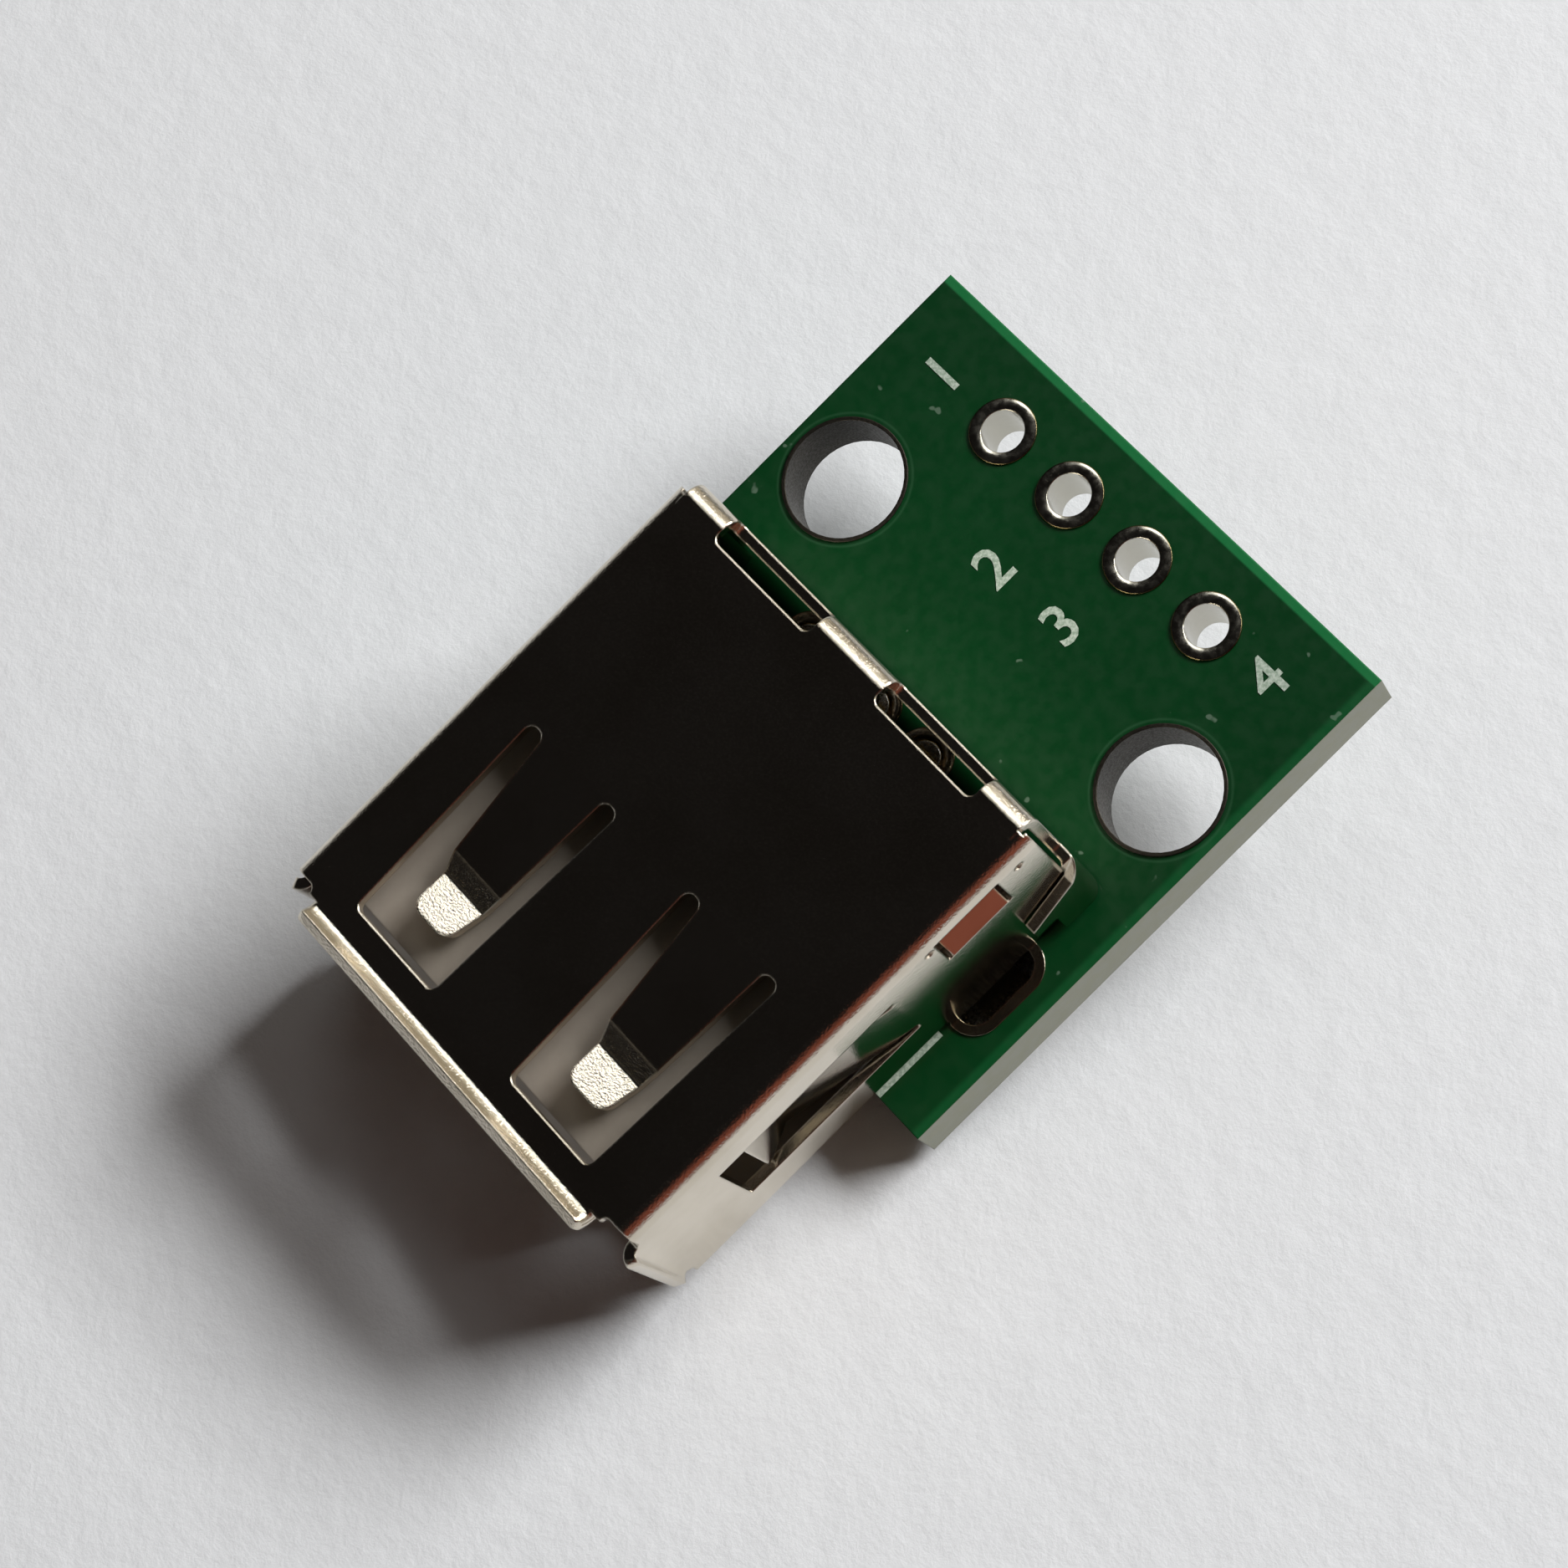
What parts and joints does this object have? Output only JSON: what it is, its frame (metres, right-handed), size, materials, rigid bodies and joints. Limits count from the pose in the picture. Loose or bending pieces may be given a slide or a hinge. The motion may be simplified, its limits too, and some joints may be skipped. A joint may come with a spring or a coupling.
{
  "type": "pcb usb socket",
  "caption": "Type A socket on a small square breakout board: folded steel shell with spring windows and flared mouth, tongue with contacts, plated mounting and header holes",
  "frame": {"origin": "Midway between the two mounting holes, on the board's top face", "axes": "+Z out of the board's top face along the mounting holes, +Y from the plug mouth towards the header row, +X to the right seen from the mouth's side"},
  "size_m": [0.016, 0.023, 0.0091],
  "materials": {
    "board": "green solder mask on glass laminate, satin gloss",
    "tinned_land": "tinned copper, slightly uneven",
    "shell": "bright nickel plate with fine grain",
    "insulator": "grey-beige moulded plastic",
    "contact": "plated spring contact",
    "solder": "smooth solder"
  },
  "bodies": {
    "root": {"board": "board", "header_hole_1": "tinned_land", "header_hole_2": "tinned_land", "header_hole_3": "tinned_land", "header_hole_4": "tinned_land", "contact_hole_1": "tinned_land", "contact_hole_2": "tinned_land", "contact_hole_3": "tinned_land", "contact_hole_4": "tinned_land", "mounting_hole_left": "tinned_land", "mounting_hole_right": "tinned_land", "peg_slot_left": "tinned_land", "peg_slot_right": "tinned_land", "shell": "shell", "insulator": "insulator", "contact_1": "contact", "contact_2": "contact", "contact_3": "contact", "contact_4": "contact", "contact_solder_1": "solder", "contact_solder_2": "solder", "contact_solder_3": "solder", "contact_solder_4": "solder", "peg_solder_left": "solder", "peg_solder_right": "solder"}
  },
  "joints": []
}
